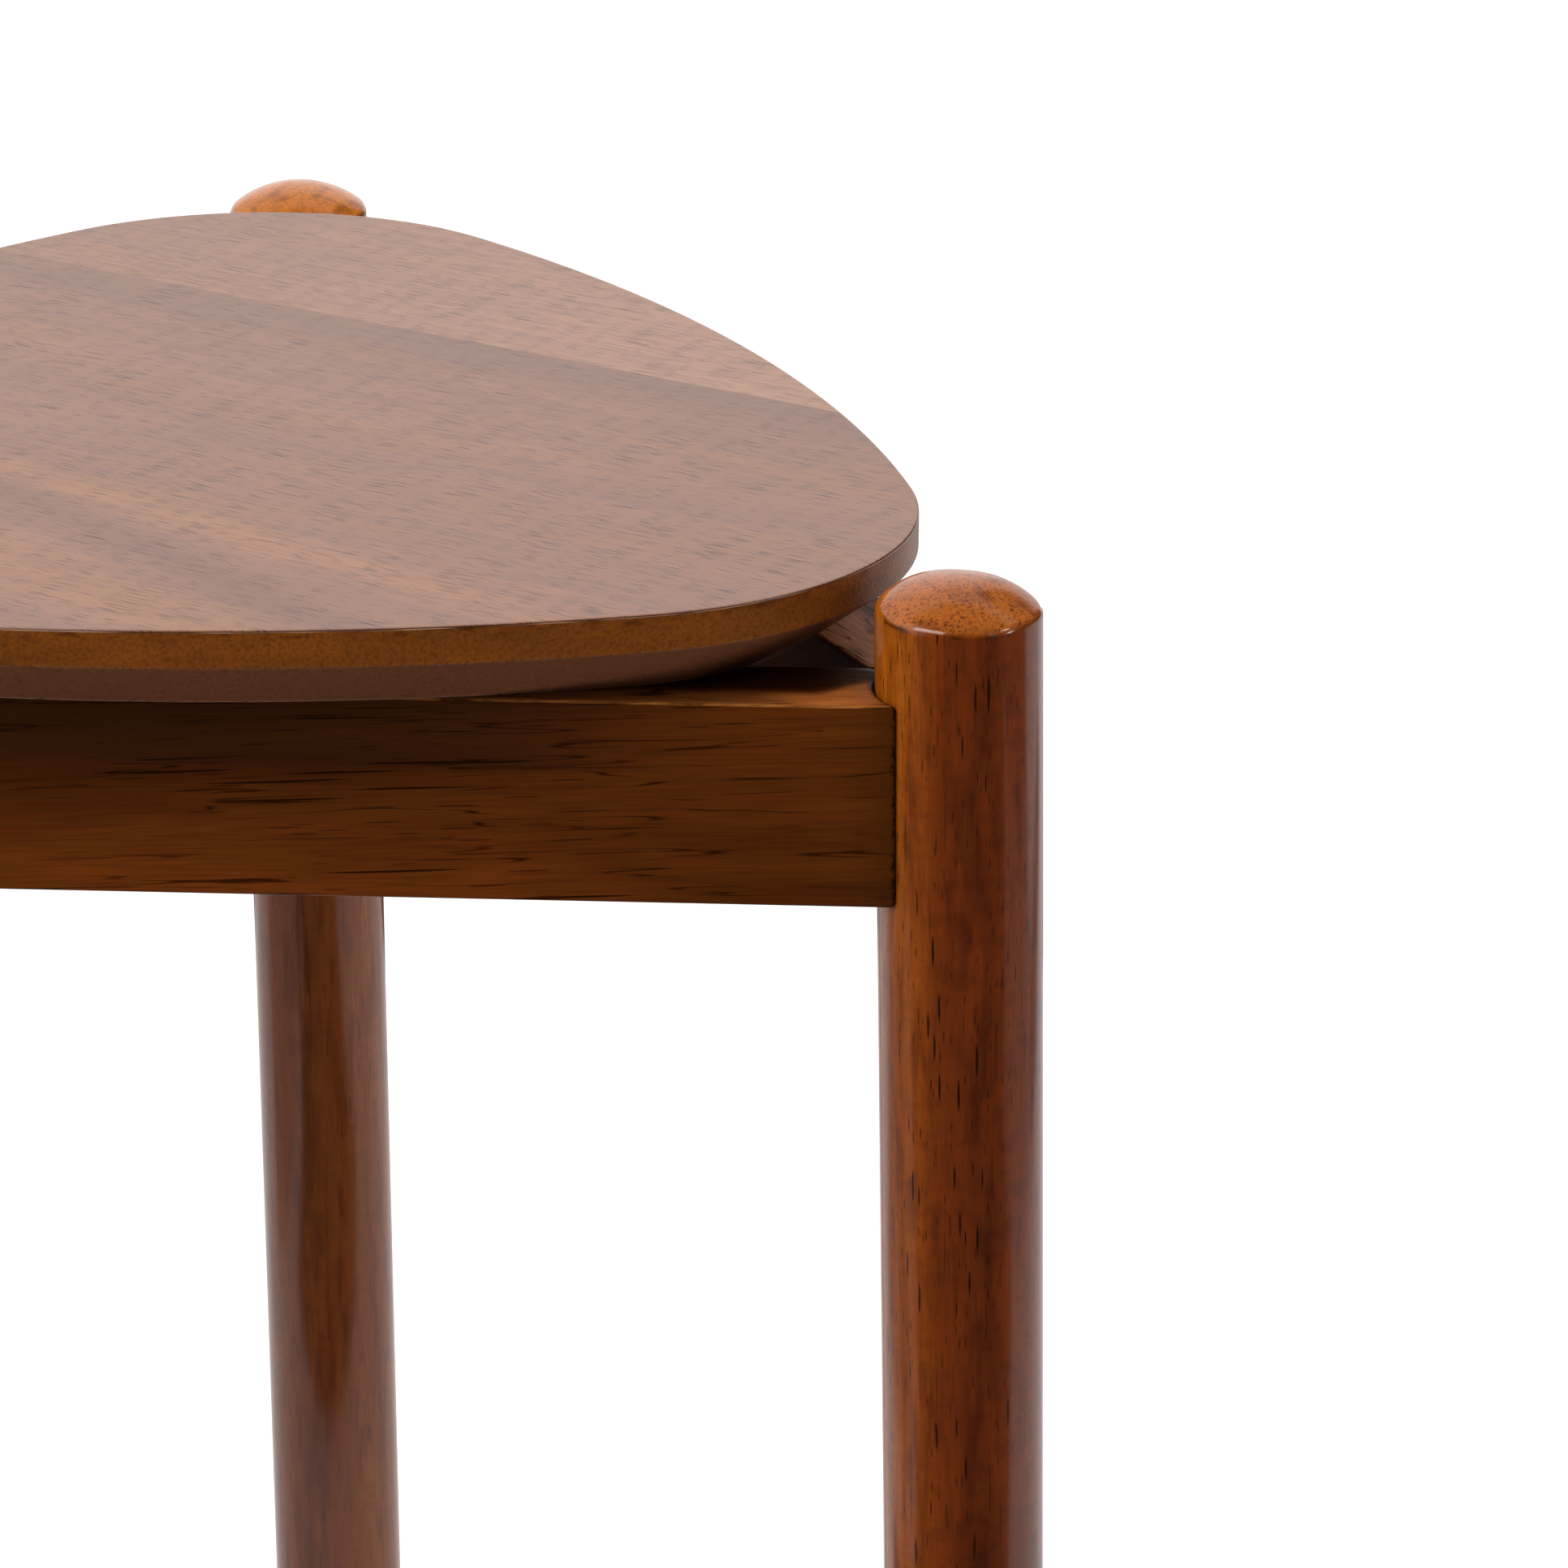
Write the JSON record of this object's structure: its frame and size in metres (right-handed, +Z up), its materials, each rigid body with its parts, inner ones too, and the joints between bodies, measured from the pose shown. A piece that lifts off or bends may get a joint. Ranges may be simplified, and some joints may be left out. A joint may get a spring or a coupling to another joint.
{
  "type": "side table",
  "caption": "Side table: a rounded-triangle veneered top with a deep bevel under its edge, on rails scribed to splayed round legs with domed heads.",
  "frame": {"origin": "on the floor, under the middle of the bounding box", "axes": "+Z up; +X to the right along the front rail; +Y to the back, towards the back leg"},
  "size_m": [0.459, 0.421, 0.5],
  "materials": {
    "walnut_veneer": "satin lacquered walnut veneer",
    "painted_board": "brown stained and lacquered fibreboard",
    "backing_veneer": "matt brown veneer",
    "leg_wood": "red-brown stained hardwood, satin lacquer",
    "rail_wood": "dark brown stained hardwood, satin lacquer",
    "dowel_beech": "bare beech",
    "plated_steel": "zinc plated",
    "glide_plastic": "moulded nylon"
  },
  "bodies": {
    "root": {"top_core": "painted_board", "top_veneer": "walnut_veneer", "top_backing": "backing_veneer", "leg_front_right": "leg_wood", "leg_back": "leg_wood", "leg_front_left": "leg_wood", "rail_front": "rail_wood", "rail_right": "rail_wood", "rail_left": "rail_wood", "dowel_front_rail_front_right_leg_lower": "dowel_beech", "dowel_front_rail_front_right_leg_upper": "dowel_beech", "dowel_front_rail_front_left_leg_lower": "dowel_beech", "dowel_front_rail_front_left_leg_upper": "dowel_beech", "dowel_right_rail_back_leg_lower": "dowel_beech", "dowel_right_rail_back_leg_upper": "dowel_beech", "dowel_right_rail_front_right_leg_lower": "dowel_beech", "dowel_right_rail_front_right_leg_upper": "dowel_beech", "dowel_left_rail_front_left_leg_lower": "dowel_beech", "dowel_left_rail_front_left_leg_upper": "dowel_beech", "dowel_left_rail_back_leg_lower": "dowel_beech", "dowel_left_rail_back_leg_upper": "dowel_beech", "bracket_front": "plated_steel", "bracket_right": "plated_steel", "bracket_left": "plated_steel", "screw_front_bracket_top_1": "plated_steel", "screw_front_bracket_top_2": "plated_steel", "screw_front_bracket_rail_1": "plated_steel", "screw_front_bracket_rail_2": "plated_steel", "screw_right_bracket_top_1": "plated_steel", "screw_right_bracket_top_2": "plated_steel", "screw_right_bracket_rail_1": "plated_steel", "screw_right_bracket_rail_2": "plated_steel", "screw_left_bracket_top_1": "plated_steel", "screw_left_bracket_top_2": "plated_steel", "screw_left_bracket_rail_1": "plated_steel", "screw_left_bracket_rail_2": "plated_steel", "glide_pad_front_right": "glide_plastic", "glide_pad_back": "glide_plastic", "glide_pad_front_left": "glide_plastic", "glide_nail_front_right": "plated_steel", "glide_nail_back": "plated_steel", "glide_nail_front_left": "plated_steel"}
  },
  "joints": []
}
